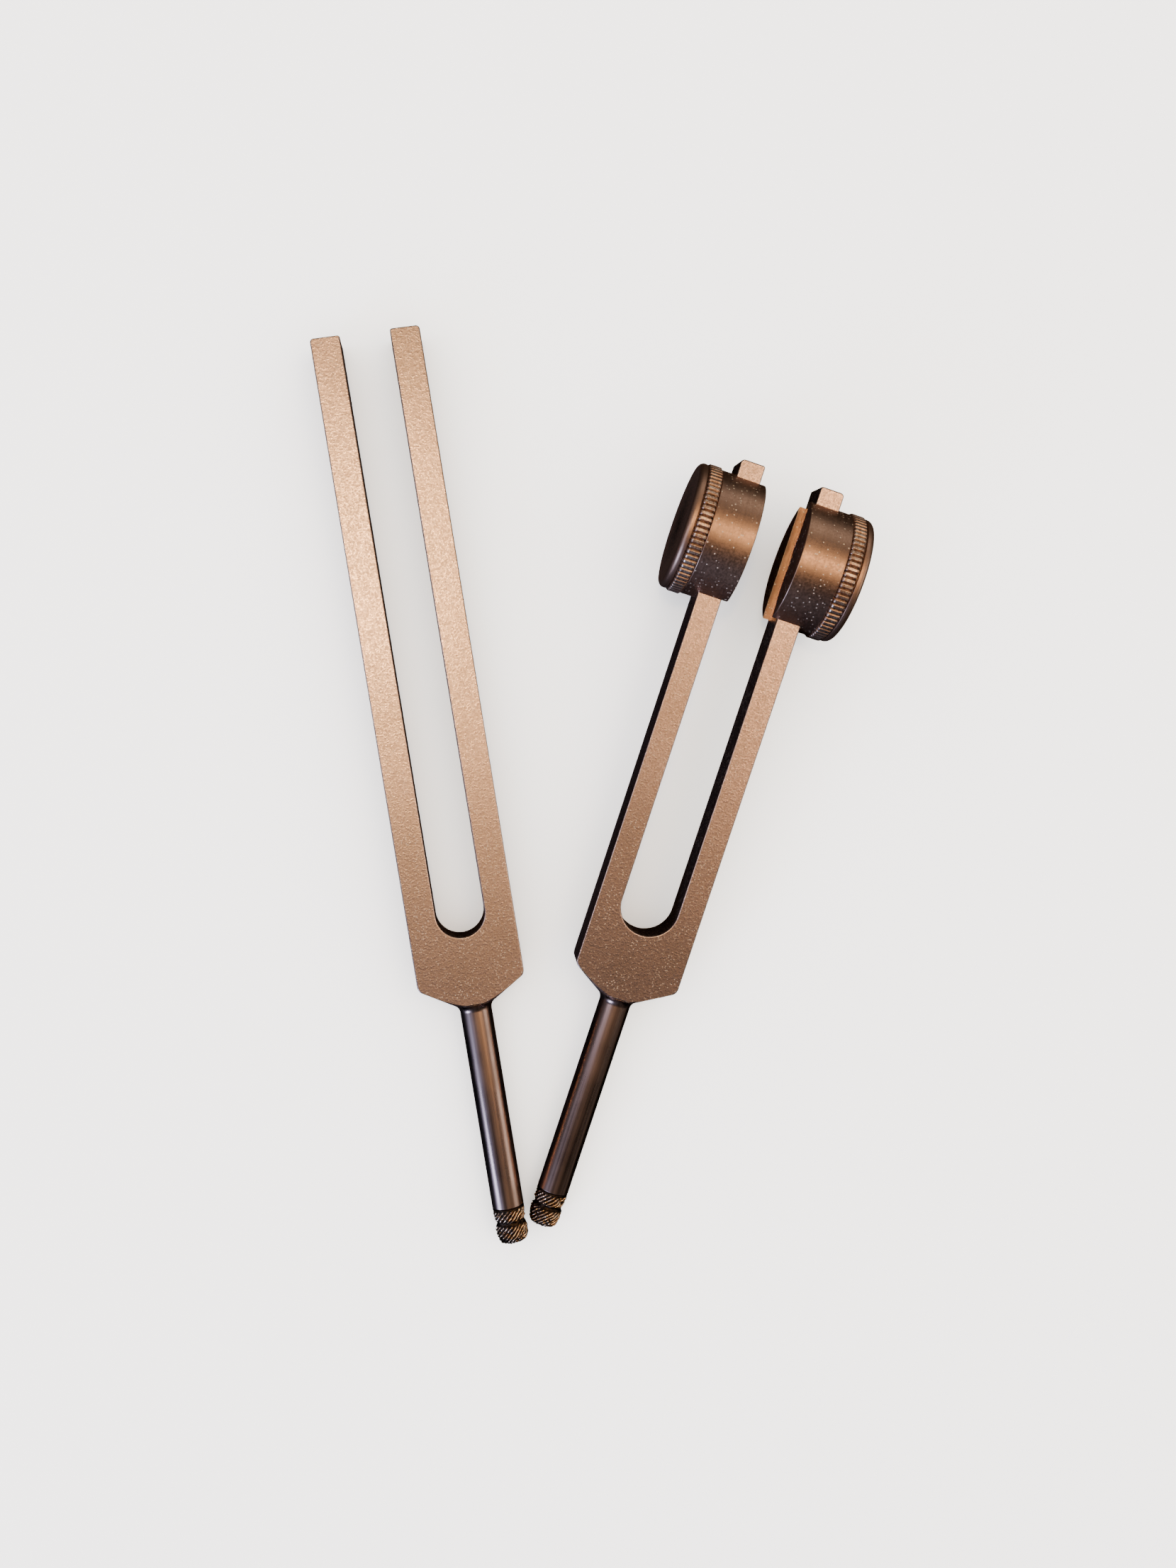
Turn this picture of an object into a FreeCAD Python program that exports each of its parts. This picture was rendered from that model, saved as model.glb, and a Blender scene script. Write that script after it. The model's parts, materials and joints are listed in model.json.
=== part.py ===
"""A pair of tuning forks lying on a table: a long plain fork and a shorter weighted fork.

Each fork is modelled along its own +Y axis, from the end of its stem (y = 0) to the ends of its
tines, with its flat faces square to Z and its middle plane at z = 0, and is then placed on the
table. The weighted fork points along the model's +Y axis and leans up on its round weights.
The plain fork lies flat beside it, with the two stem tips almost touching.
Lengths are in millimetres.
"""
import FreeCAD, Part
import math
import os

import Sketcher
from FreeCAD import Placement, Rotation, Vector

# name, value, meaning
SIZES = [
    ("fork_width", 25.0, "outside width across both tines"),
    ("fork_thickness", 10.0, "thickness of the flat blank"),
    ("plain_length", 214.2, "plain fork, stem end to tine ends"),
    ("weighted_length", 184.7, "weighted fork, stem end to tine ends"),
    ("plain_slot", 11.4, "gap between the plain fork's tines"),
    ("weighted_slot", 13.6, "gap between the weighted fork's tines"),
    ("slot_bottom", 74.1, "stem end to the bottom of the slot"),
    ("shoulder_start", 57.2, "stem end to where the shoulder's cone meets the stem's surface"),
    ("shoulder_slope", 0.64, "rise of the turned shoulder along the stem for each mm outwards"),
    ("corner_round", 0.9, "rounding of the tine ends' corners, seen from the front"),
    ("edge_round", 0.3, "small rounding of the blank's long edges"),
    ("stem_diameter", 7.5, "handle stem"),
    ("root_flare", 1.2, "how far the stem's root spreads past its plain diameter"),
    ("root_round", 2.3, "hollow rounding from the stem into its root"),
    ("stem_spigot_diameter", 6.0, "reduced end of the stem, pressed into the yoke"),
    ("stem_spigot_length", 10.0, "length of that reduced end"),
    ("tip_length", 8.6, "knurled stem tip, without its spigot"),
    ("tip_round", 1.5, "rounding at the end of the stem tip"),
    ("tip_groove", 0.8, "width of the smooth groove between the tip's two bands"),
    ("tip_groove_depth", 0.5, "depth of that groove"),
    ("tip_spigot_diameter", 4.4, "stud of the tip inside the stem"),
    ("tip_spigot_length", 6.0, "length of that stud"),
    ("seam_chamfer", 0.25, "chamfer on each side of a visible seam"),
    ("weight_from_end", 17.9, "tine end to the axis of its weight"),
    ("weight_diameter", 29.2, "smooth body of a weight"),
    ("weight_lip", 1.4, "how far the lips reach past the tine's inner side"),
    ("weight_web", 3.3, "solid wall of the weight outside the tine"),
    ("boss_diameter", 9.0, "locating boss on the weight inside the cap"),
    ("boss_height", 0.8, "height of that boss"),
    ("cap_diameter", 30.0, "knurled band of a cap"),
    ("cap_band", 3.1, "width of the knurled band"),
    ("cap_groove", 0.35, "width of the groove beside the band"),
    ("cap_groove_depth", 0.5, "depth of that groove"),
    ("rim_diameter", 29.4, "smooth rim outside the groove"),
    ("rim_width", 1.8, "width of that rim"),
    ("rim_round", 1.3, "rounding of the rim's outer edge"),
    ("knurl_count", 72, "ridges round a cap"),
    ("knurl_depth", 0.35, "depth of the cuts between ridges"),
    ("knurl_cut", 0.7, "width of a cut at the band's surface"),
    ("screw_diameter", 3.0, "clamp screw"),
    ("screw_head_diameter", 5.6, "flat head sunk in the tine"),
    ("screw_head_height", 1.7, "height of that head"),
    ("socket_width", 2.0, "hexagon socket across its flats"),
    ("socket_depth", 1.0, "depth of the socket"),
    ("screw_reach", 3.6, "length of screw inside the cap"),
    ("slide_up", 4.0, "travel of a weight towards the tine's end"),
    ("slide_down", 8.0, "travel of a weight towards the yoke"),
    ("fit_gap", 0.05, "gap on each side of a sliding or turning fit"),
    ("head_gap", 0.1, "gap round the screw's head and shank in the tine"),
    ("fork_angle", 26.9, "angle between the two forks, seen from above"),
    ("fork_gap", 0.6, "clear gap between the two stem tips"),
    ("plain_setback", 4.8, "how far the plain fork's end reaches past the tip it lies beside"),
]

doc = FreeCAD.newDocument("tuning_forks")
sheet = doc.addObject("Spreadsheet::Sheet", "sizes")
for row, (alias, value, meaning) in enumerate(SIZES, start=1):
    sheet.set(f"A{row}", alias)
    sheet.set(f"B{row}", str(value))
    sheet.setAlias(f"B{row}", alias)
    sheet.set(f"C{row}", meaning)
doc.recompute()


ALIASES = {alias for alias, value, meaning in SIZES}


def size(alias):
    """A driving dimension, as a number."""
    return float(getattr(sheet, alias))


def bound(expression):
    """The expression with every size name pointing at the sheet."""
    words = []
    for word in expression.split():
        words.append(f"sizes.{word}" if word in ALIASES else word)
    return " ".join(words)


def worked_out(expression):
    """The value of an expression, as a number."""
    return float(sheet.evalExpression(bound(expression)))

# ---------------------------------------------------------------- drawing helpers


def new_body(label):
    """An empty body whose label is the name of its part."""
    body = doc.addObject("PartDesign::Body", label)
    body.Label = label
    return body


def origin_feature(body, role):
    """One of the body's own origin planes or axes."""
    for feature in body.Origin.OriginFeatures:
        if feature.Role == role:
            return feature
    raise ValueError(role)


def new_sketch(body, name, plane, offset=None):
    """A sketch on an origin plane, moved along the plane's normal by an expression."""
    sketch = body.newObject("Sketcher::SketchObject", f"{body.Label}_{name}")
    sketch.AttachmentSupport = [(origin_feature(body, plane), "")]
    sketch.MapMode = "FlatFace"
    if offset is not None:
        sketch.setExpression(".AttachmentOffset.Base.z", bound(offset))
    return sketch


def constrain(sketch, kind, places, expression):
    """One dimension of a sketch, bound to the sheet."""
    constraint = Sketcher.Constraint(kind, *places, worked_out(expression))
    index = sketch.addConstraint(constraint)
    sketch.setExpression(f"Constraints[{index}]", bound(expression))


def draw_outline(sketch, corners):
    """A closed outline of straight sides; each corner is a pair of expressions."""
    points = []
    for across, along in corners:
        points.append(Vector(worked_out(across), worked_out(along), 0))
    count = len(points)
    for index in range(count):
        side = Part.LineSegment(points[index], points[(index + 1) % count])
        sketch.addGeometry(side, False)
    for index in range(count):
        following = (index + 1) % count
        sketch.addConstraint(Sketcher.Constraint("Coincident", index, 2, following, 1))
    for index, (across, along) in enumerate(corners):
        constrain(sketch, "DistanceX", (-1, 1, index, 1), across)
        constrain(sketch, "DistanceY", (-1, 1, index, 1), along)


def draw_circle(sketch, across, along, radius):
    """A circle given by expressions for its centre and radius."""
    centre = Vector(worked_out(across), worked_out(along), 0)
    circle = Part.Circle(centre, Vector(0, 0, 1), worked_out(radius))
    index = sketch.addGeometry(circle, False)
    constrain(sketch, "DistanceX", (-1, 1, index, 3), across)
    constrain(sketch, "DistanceY", (-1, 1, index, 3), along)
    constrain(sketch, "Radius", (index,), radius)


def pad_both_ways(body, sketch, length):
    """Material grown equally to both sides of a sketch."""
    pad = body.newObject("PartDesign::Pad", f"{sketch.Name}_pad")
    pad.Profile = sketch
    pad.Midplane = True
    pad.setExpression("Length", bound(length))
    return pad


def cut_both_ways(body, sketch, length):
    """Material removed equally to both sides of a sketch."""
    pocket = body.newObject("PartDesign::Pocket", f"{sketch.Name}_cut")
    pocket.Profile = sketch
    pocket.Midplane = True
    pocket.setExpression("Length", bound(length))
    return pocket


def cut_forwards(body, sketch, length):
    """Material removed along the sketch's normal."""
    pocket = body.newObject("PartDesign::Pocket", f"{sketch.Name}_cut")
    pocket.Profile = sketch
    pocket.Reversed = True
    pocket.setExpression("Length", bound(length))
    return pocket


def turn(body, sketch, axis):
    """Material turned about one axis of its sketch."""
    revolution = body.newObject("PartDesign::Revolution", f"{sketch.Name}_turn")
    revolution.Profile = sketch
    revolution.ReferenceAxis = (sketch, [axis])
    revolution.Angle = 360.0
    return revolution


def turn_away(body, sketch, axis):
    """Material turned off about one axis of its sketch."""
    groove = body.newObject("PartDesign::Groove", f"{sketch.Name}_turned_off")
    groove.Profile = sketch
    groove.ReferenceAxis = (sketch, [axis])
    groove.Angle = 360.0
    return groove


def round_edges(body, base, name, radius, wanted):
    """A fillet on the edges of the base feature that a test accepts."""
    doc.recompute()
    edges = []
    for index, edge in enumerate(base.Shape.Edges, start=1):
        if wanted(edge):
            edges.append(f"Edge{index}")
    fillet = body.newObject("PartDesign::Fillet", f"{body.Label}_{name}")
    fillet.Base = (base, edges)
    fillet.setExpression("Radius", bound(radius))
    return fillet


# ---------------------------------------------------------------- the forks
# The stem's root and the yoke's shoulder are one turned cone, and meet where the cone is this wide.

ROOT_RADIUS = "stem_diameter / 2 + root_flare"
SEAT = "shoulder_start + root_flare * shoulder_slope"
# The rounding's foot has to stay on the flare, whose length along the cone limits it.
LARGEST_ROUND = "0.95 * root_flare / ( 1 - shoulder_slope / sqrt( 1 + shoulder_slope ^ 2 ) )"
ROOT_ROUND = f"min( root_round ; {LARGEST_ROUND} )"


def make_blank(label, length, slot):
    """Yoke and two tines: one flat blank with a round-bottomed slot and a turned shoulder."""
    body = new_body(label)
    plate = new_sketch(body, "plate", "XY_Plane")
    draw_outline(plate, [
        ("- fork_width / 2", SEAT),
        ("fork_width / 2", SEAT),
        ("fork_width / 2", length),
        ("- fork_width / 2", length),
    ])
    pad_both_ways(body, plate, "fork_thickness")

    gap = new_sketch(body, "gap", "XY_Plane")
    draw_outline(gap, [
        (f"- {slot} / 2", f"slot_bottom + {slot} / 2"),
        (f"{slot} / 2", f"slot_bottom + {slot} / 2"),
        (f"{slot} / 2", f"{length} + 1"),
        (f"- {slot} / 2", f"{length} + 1"),
    ])
    cut_both_ways(body, gap, "fork_thickness * 2")

    gap_end = new_sketch(body, "gap_end", "XY_Plane")
    draw_circle(gap_end, "0", f"slot_bottom + {slot} / 2", f"{slot} / 2")
    slotted = cut_both_ways(body, gap_end, "fork_thickness * 2")

    end_y = size(length)
    seat_y = worked_out(SEAT)

    def at_tine_corner(edge):
        box = edge.BoundBox
        return box.ZLength > 1 and box.YLength < 0.01 and abs(box.YMax - end_y) < 0.01

    cornered = round_edges(body, slotted, "corners", "corner_round", at_tine_corner)

    def off_the_base(edge):
        box = edge.BoundBox
        return box.ZLength < 0.01 and box.YMax > seat_y + 0.01

    round_edges(body, cornered, "edges", "edge_round", off_the_base)

    shoulder = new_sketch(body, "shoulder", "XY_Plane")
    draw_outline(shoulder, [
        (ROOT_RADIUS, f"{SEAT} - 1"),
        (ROOT_RADIUS, SEAT),
        ("fork_width", "shoulder_start + ( fork_width - stem_diameter / 2 ) * shoulder_slope"),
        ("fork_width", f"{SEAT} - 1"),
    ])
    turn_away(body, shoulder, "V_Axis")

    socket = new_sketch(body, "socket", "XY_Plane")
    draw_outline(socket, [
        ("0", f"{SEAT} - 1"),
        ("stem_spigot_diameter / 2", f"{SEAT} - 1"),
        ("stem_spigot_diameter / 2", f"{SEAT} + stem_spigot_length + fit_gap"),
        ("0", f"{SEAT} + stem_spigot_length + fit_gap"),
    ])
    turn_away(body, socket, "V_Axis")
    return body


def cut_tuning_slots(body):
    """Stepped slots through both tines, in which the clamp screws travel with the weights."""
    middle = "weighted_length - weight_from_end"
    low = f"{middle} - slide_down"
    high = f"{middle} + slide_up"
    for name, width, length in (
        ("shank_slot", "screw_diameter / 2 + head_gap", "fork_width + 2"),
        ("head_slot", "screw_head_diameter / 2 + head_gap",
         "weighted_slot + 2 * screw_head_height + 2 * fit_gap"),
    ):
        run = new_sketch(body, name, "YZ_Plane")
        draw_outline(run, [
            (low, f"- ( {width} )"),
            (high, f"- ( {width} )"),
            (high, width),
            (low, width),
        ])
        cut_both_ways(body, run, length)
        for end_name, end in (("low_end", low), ("high_end", high)):
            end_sketch = new_sketch(body, f"{name}_{end_name}", "YZ_Plane")
            draw_circle(end_sketch, end, "0", width)
            cut_both_ways(body, end_sketch, length)


def make_stem(label):
    """Round handle stem, reduced at the top to press into the yoke and bored for its tip."""
    body = new_body(label)
    profile = new_sketch(body, "profile", "XY_Plane")
    draw_outline(profile, [
        ("tip_spigot_diameter / 2", "tip_length"),
        ("stem_diameter / 2 - seam_chamfer", "tip_length"),
        ("stem_diameter / 2", "tip_length + seam_chamfer"),
        ("stem_diameter / 2", "shoulder_start"),
        (ROOT_RADIUS, SEAT),
        ("stem_spigot_diameter / 2", SEAT),
        ("stem_spigot_diameter / 2", f"{SEAT} + stem_spigot_length"),
        ("0", f"{SEAT} + stem_spigot_length"),
        ("0", "tip_length + tip_spigot_length + fit_gap"),
        ("tip_spigot_diameter / 2", "tip_length + tip_spigot_length + fit_gap"),
    ])
    turned = turn(body, profile, "V_Axis")

    corner_y = size("shoulder_start")

    def at_the_root(edge):
        box = edge.BoundBox
        return box.YLength < 0.01 and abs(box.YMax - corner_y) < 0.01

    round_edges(body, turned, "root", ROOT_ROUND, at_the_root)
    return body


def make_tip(label):
    """Round-ended stem tip with two grip bands, a groove between them and a stud."""
    body = new_body(label)
    profile = new_sketch(body, "profile", "XY_Plane")
    band = "( tip_length - tip_round - tip_groove ) / 2"
    draw_outline(profile, [
        ("0", "0"),
        ("stem_diameter / 2", "0"),
        ("stem_diameter / 2", f"tip_round + {band}"),
        ("stem_diameter / 2 - tip_groove_depth", f"tip_round + {band} + tip_groove / 4"),
        ("stem_diameter / 2 - tip_groove_depth", f"tip_round + {band} + tip_groove * 3 / 4"),
        ("stem_diameter / 2", f"tip_round + {band} + tip_groove"),
        ("stem_diameter / 2", "tip_length - seam_chamfer"),
        ("stem_diameter / 2 - seam_chamfer", "tip_length"),
        ("tip_spigot_diameter / 2", "tip_length"),
        ("tip_spigot_diameter / 2", "tip_length + tip_spigot_length"),
        ("0", "tip_length + tip_spigot_length"),
    ])
    turned = turn(body, profile, "V_Axis")

    def at_the_end(edge):
        return edge.BoundBox.YMax < 0.01

    round_edges(body, turned, "end_round", "tip_round", at_the_end)
    return body


# ---------------------------------------------------------------- the weights
# A weight is drawn about its own X axis, which crosses the tines, with x = 0 midway between them.

LIP_END = "weighted_slot / 2 - weight_lip"
BODY_END = "fork_width / 2 + weight_web"
CAP_START = f"{BODY_END} + fit_gap"
BAND_END = f"{CAP_START} + cap_band"
RIM_START = f"{BAND_END} + cap_groove"
CAP_END = f"{RIM_START} + rim_width"
SCREW_END = f"{CAP_START} + screw_reach"
HEAD_START = "weighted_slot / 2"
HEAD_END = f"{HEAD_START} + screw_head_height"


def make_weight(label):
    """Smooth round weight with a channel, open inwards, that straddles its tine."""
    body = new_body(label)
    profile = new_sketch(body, "profile", "XY_Plane")
    draw_outline(profile, [
        (LIP_END, "screw_diameter / 2 + fit_gap"),
        (LIP_END, "weight_diameter / 2 - seam_chamfer"),
        (f"{LIP_END} + seam_chamfer", "weight_diameter / 2"),
        (f"{BODY_END} - seam_chamfer", "weight_diameter / 2"),
        (BODY_END, "weight_diameter / 2 - seam_chamfer"),
        (BODY_END, "boss_diameter / 2"),
        (f"{BODY_END} + boss_height", "boss_diameter / 2"),
        (f"{BODY_END} + boss_height", "screw_diameter / 2 + fit_gap"),
    ])
    turn(body, profile, "H_Axis")

    channel = new_sketch(body, "channel", "XZ_Plane")
    draw_outline(channel, [
        (f"{LIP_END} - 1", "- fork_thickness / 2 - fit_gap"),
        ("fork_width / 2 + fit_gap", "- fork_thickness / 2 - fit_gap"),
        ("fork_width / 2 + fit_gap", "fork_thickness / 2 + fit_gap"),
        (f"{LIP_END} - 1", "fork_thickness / 2 + fit_gap"),
    ])
    cut_both_ways(body, channel, "weight_diameter + 2")
    return body


def make_cap(label):
    """Knurled cap with a smooth rounded rim, which screws up against the weight."""
    body = new_body(label)
    profile = new_sketch(body, "profile", "XY_Plane")
    draw_outline(profile, [
        (CAP_START, "boss_diameter / 2 + fit_gap"),
        (CAP_START, "cap_diameter / 2 - seam_chamfer"),
        (f"{CAP_START} + seam_chamfer", "cap_diameter / 2"),
        (BAND_END, "cap_diameter / 2"),
        (BAND_END, "cap_diameter / 2 - cap_groove_depth - knurl_depth"),
        (RIM_START, "cap_diameter / 2 - cap_groove_depth - knurl_depth"),
        (RIM_START, "rim_diameter / 2"),
        (CAP_END, "rim_diameter / 2"),
        (CAP_END, "0"),
        (f"{SCREW_END} + fit_gap", "0"),
        (f"{SCREW_END} + fit_gap", "screw_diameter / 2 + fit_gap"),
        (f"{CAP_START} + boss_height", "screw_diameter / 2 + fit_gap"),
        (f"{CAP_START} + boss_height", "boss_diameter / 2 + fit_gap"),
    ])
    turned = turn(body, profile, "H_Axis")

    outer_x = worked_out(CAP_END)

    def at_the_rim(edge):
        return edge.BoundBox.XMin > outer_x - 0.01

    round_edges(body, turned, "rim_edge", "rim_round", at_the_rim)

    notch = new_sketch(body, "notch", "YZ_Plane", offset=CAP_START)
    draw_outline(notch, [
        ("0", "cap_diameter / 2 - knurl_depth"),
        ("knurl_cut", "cap_diameter / 2 + knurl_depth"),
        ("- knurl_cut", "cap_diameter / 2 + knurl_depth"),
    ])
    first_cut = cut_forwards(body, notch, "cap_band + cap_groove / 2")
    ring = body.newObject("PartDesign::PolarPattern", f"{label}_knurl")
    ring.Originals = [first_cut]
    ring.Axis = (origin_feature(body, "X_Axis"), [""])
    ring.Angle = 360.0
    ring.setExpression("Occurrences", bound("knurl_count"))
    body.Tip = ring
    return body


def make_screw(label):
    """Clamp screw: a flat head sunk in the tine, and a shank that ends inside the cap."""
    body = new_body(label)
    profile = new_sketch(body, "profile", "XY_Plane")
    draw_outline(profile, [
        (HEAD_START, "0"),
        (HEAD_START, "screw_head_diameter / 2"),
        (HEAD_END, "screw_head_diameter / 2"),
        (HEAD_END, "screw_diameter / 2"),
        (SCREW_END, "screw_diameter / 2"),
        (SCREW_END, "0"),
    ])
    turn(body, profile, "H_Axis")

    socket = new_sketch(body, "socket", "YZ_Plane", offset=HEAD_START)
    corner = "socket_width / 2 * 1.1547"
    draw_outline(socket, [
        (corner, "0"),
        (f"{corner} / 2", "socket_width / 2"),
        (f"- {corner} / 2", "socket_width / 2"),
        (f"- {corner}", "0"),
        (f"- {corner} / 2", "- socket_width / 2"),
        (f"{corner} / 2", "- socket_width / 2"),
    ])
    cut_forwards(body, socket, "socket_depth")
    return body


# ---------------------------------------------------------------- the parts

plain = {
    "plain_fork": make_blank("plain_fork", "plain_length", "plain_slot"),
    "plain_stem": make_stem("plain_stem"),
    "plain_stem_tip": make_tip("plain_stem_tip"),
}
weighted = {
    "weighted_fork": make_blank("weighted_fork", "weighted_length", "weighted_slot"),
    "weighted_stem": make_stem("weighted_stem"),
    "weighted_stem_tip": make_tip("weighted_stem_tip"),
}
cut_tuning_slots(weighted["weighted_fork"])
weights = {}
for side in ("right", "left"):
    weights[side] = {
        f"{side}_weight": make_weight(f"{side}_weight"),
        f"{side}_knurled_cap": make_cap(f"{side}_knurled_cap"),
        f"{side}_clamp_screw": make_screw(f"{side}_clamp_screw"),
    }
doc.recompute()

# ---------------------------------------------------------------- where they lie

stem_radius = size("stem_diameter") / 2
tip_round = size("tip_round")
cap_radius = size("cap_diameter") / 2
weight_y = size("weighted_length") - size("weight_from_end")

# The weighted fork touches the table with its caps and with the rounded end of its stem tip:
# round + (radius - round) cos(lean) + (weight_y - round) sin(lean) = cap radius.
flat_part = stem_radius - tip_round
reach = weight_y - tip_round
lean = math.asin((cap_radius - tip_round) / math.hypot(flat_part, reach)) - math.atan2(flat_part, reach)
stem_end_height = cap_radius - weight_y * math.sin(lean)

# The plain fork lies beside the rounded corner of the weighted fork's stem tip.
turn_angle = math.radians(size("fork_angle"))
away = Vector(-math.cos(turn_angle), -math.sin(turn_angle), 0)
backwards = Vector(math.sin(turn_angle), -math.cos(turn_angle), 0)
neighbour = Vector(-flat_part, tip_round, 0)
spacing = stem_radius + tip_round + size("fork_gap")
plain_end = neighbour + away * spacing + backwards * size("plain_setback")


def place_all(origin):
    """Put every part in its place, with the model's origin at the given point on the table."""
    weighted_place = Placement(
        Vector(0, 0, stem_end_height) - origin, Rotation(Vector(1, 0, 0), math.degrees(lean))
    )
    plain_place = Placement(
        Vector(plain_end.x, plain_end.y, size("fork_thickness") / 2) - origin,
        Rotation(Vector(0, 0, 1), size("fork_angle")),
    )
    for body in plain.values():
        body.Placement = plain_place
    for body in weighted.values():
        body.Placement = weighted_place
    for side, angle in (("right", 0.0), ("left", 180.0)):
        on_fork = Placement(Vector(0, weight_y, 0), Rotation(Vector(0, 0, 1), angle))
        for body in weights[side].values():
            body.Placement = weighted_place * on_fork


parts = {**plain, **weighted, **weights["left"], **weights["right"]}

# The origin is the middle of the pair's outline, on the table.
place_all(Vector(0, 0, 0))
doc.recompute()
outline = Part.Compound([body.Shape for body in parts.values()]).optimalBoundingBox(False, False)
place_all(Vector((outline.XMin + outline.XMax) / 2, (outline.YMin + outline.YMax) / 2, 0))
doc.recompute()

# ---------------------------------------------------------------- checks and files

for item in doc.Objects:
    if "Invalid" in item.State or "Error" in item.State:
        raise RuntimeError(f"{item.Label} did not build: {item.State}")
os.makedirs("parts", exist_ok=True)
for label, body in parts.items():
    if body.Shape.isNull() or not body.Shape.isValid() or len(body.Shape.Solids) != 1:
        raise RuntimeError(f"{label} is not one valid solid")
for label, body in parts.items():
    body.Shape.exportStep(f"parts/{label}.step")
    print(f"{label}: {body.Shape.Volume:.1f} mm3")

print(f"lean {math.degrees(lean):.4f} deg, stem end height {stem_end_height:.4f} mm")
print(f"weight axis at {parts['right_weight'].Placement.Base}")
print(f"weighted stem end at {parts['weighted_fork'].Placement.Base}")
print(f"plain stem end at {parts['plain_fork'].Placement.Base}")
print(f"outline {outline}")
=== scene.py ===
"""A pair of aluminium tuning forks, one plain and one with sliding weights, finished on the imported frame.

Each turned or milled piece is made in its own coordinates, with its axis along local Y, and is then
put on the axis that the frame gives for it. Lengths are in metres.
"""

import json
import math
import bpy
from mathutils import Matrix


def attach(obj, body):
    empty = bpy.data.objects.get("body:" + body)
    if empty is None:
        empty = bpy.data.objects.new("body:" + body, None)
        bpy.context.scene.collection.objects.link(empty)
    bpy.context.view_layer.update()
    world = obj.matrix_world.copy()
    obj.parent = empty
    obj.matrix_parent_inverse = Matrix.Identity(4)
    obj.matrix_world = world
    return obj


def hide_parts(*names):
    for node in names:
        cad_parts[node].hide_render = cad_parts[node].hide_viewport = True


bl_info = {
    "name": "Tuning Fork Pair",
    "version": (1, 0, 0),
    "blender": (4, 5, 0),
    "location": "3D View > Sidebar > Forks",
    "description": "Makes the visible pieces and finishes of a plain and a weighted tuning fork",
    "category": "Add Mesh",
}

import bmesh
import bpy
from bpy.props import FloatProperty, FloatVectorProperty, IntProperty, PointerProperty
from mathutils import Matrix, Vector, noise

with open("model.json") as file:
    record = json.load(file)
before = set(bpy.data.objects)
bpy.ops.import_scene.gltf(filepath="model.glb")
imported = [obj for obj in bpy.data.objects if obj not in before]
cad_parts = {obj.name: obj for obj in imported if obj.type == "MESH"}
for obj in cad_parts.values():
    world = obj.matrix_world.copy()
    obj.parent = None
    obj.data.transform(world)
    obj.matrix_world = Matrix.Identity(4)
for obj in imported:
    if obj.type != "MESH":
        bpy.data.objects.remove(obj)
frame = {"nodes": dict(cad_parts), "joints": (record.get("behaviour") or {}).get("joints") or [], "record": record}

MM = 0.001
TINY = 1e-7  # metres; smaller than any real difference
NEARLY_FULL = 0.999  # of a half width: the rounding that makes a round end, less a hair
MOUNTS = {mount["name"]: mount for mount in frame["record"]["mounts"]}
JOINTS = {joint["name"]: joint for joint in frame["joints"]}


# ---------------------------------------------------------------- sizes and colours


def length(name, description, millimetres):
    """A length that the user can change."""
    return FloatProperty(name=name, description=description, default=millimetres * MM, unit="LENGTH")


def colour(name, description, value):
    """A colour that the user can change."""
    return FloatVectorProperty(
        name=name, description=description, default=value, size=3, subtype="COLOR", min=0.0, max=1.0
    )


class ForkSizes(bpy.types.PropertyGroup):
    """Sizes of the blanks, stems and stem tips."""

    width: length("Width", "Outside width across both tines", 25.0)
    thickness: length("Thickness", "Thickness of the flat blank", 10.0)
    plain_length: length("Plain length", "Plain fork, stem end to tine ends", 214.2)
    weighted_length: length("Weighted length", "Weighted fork, stem end to tine ends", 184.7)
    plain_slot: length("Plain slot", "Gap between the plain fork's tines", 11.4)
    weighted_slot: length("Weighted slot", "Gap between the weighted fork's tines", 13.6)
    slot_bottom: length("Slot bottom", "Stem end to the bottom of the slot", 74.1)
    shoulder_start: length("Shoulder start", "Stem end to where the cone meets the stem", 57.2)
    shoulder_slope: FloatProperty(
        name="Shoulder slope", description="Rise for each unit outwards", default=0.64
    )
    corner_round: length("Corner rounding", "Rounding of the tine ends' corners", 0.9)
    shoulder_round: length("Shoulder rounding", "Rounding of the yoke's lower corners", 2.2)
    edge_round: length("Edge rounding", "Rounding of the long edges", 0.32)
    stem_radius: length("Stem radius", "Radius of the handle stem", 3.75)
    root_flare: length("Root flare", "How far the stem's root spreads", 1.2)
    root_round: length("Root rounding", "Hollow rounding from the stem into its root", 2.2)
    tip_length: length("Tip length", "Knurled tip at the stem's end", 8.6)
    tip_round: length("Tip rounding", "Rounding at the end of the tip", 1.5)
    tip_groove: length("Tip groove", "Middle of the groove, from the stem's end", 4.95)
    tip_groove_width: length("Groove width", "Width of the hollow between the two bands", 1.3)
    tip_groove_depth: length("Groove depth", "Depth of that hollow", 0.55)
    ridge_count: IntProperty(name="Tip ridges", description="Slanting ridges round a tip", default=20)
    ridge_height: length("Ridge height", "Height of the tip's ridges", 0.42)
    tip_lumps: length("Tip lumps", "Depth of the uneven hollows in a tip", 0.35)
    ridge_rise: length("Ridge rise", "How far the ridges stand above the stem", 0.1)
    ridge_slant: FloatProperty(
        name="Ridge slant", description="Turn of a ridge along the tip, in radians per millimetre", default=0.3
    )
    seam: length("Seam", "Chamfer on each side of the seam between stem and tip", 0.25)
    grip_middle: length("Grip middle", "Stem end to the middle of the grip", 32.4)


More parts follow.
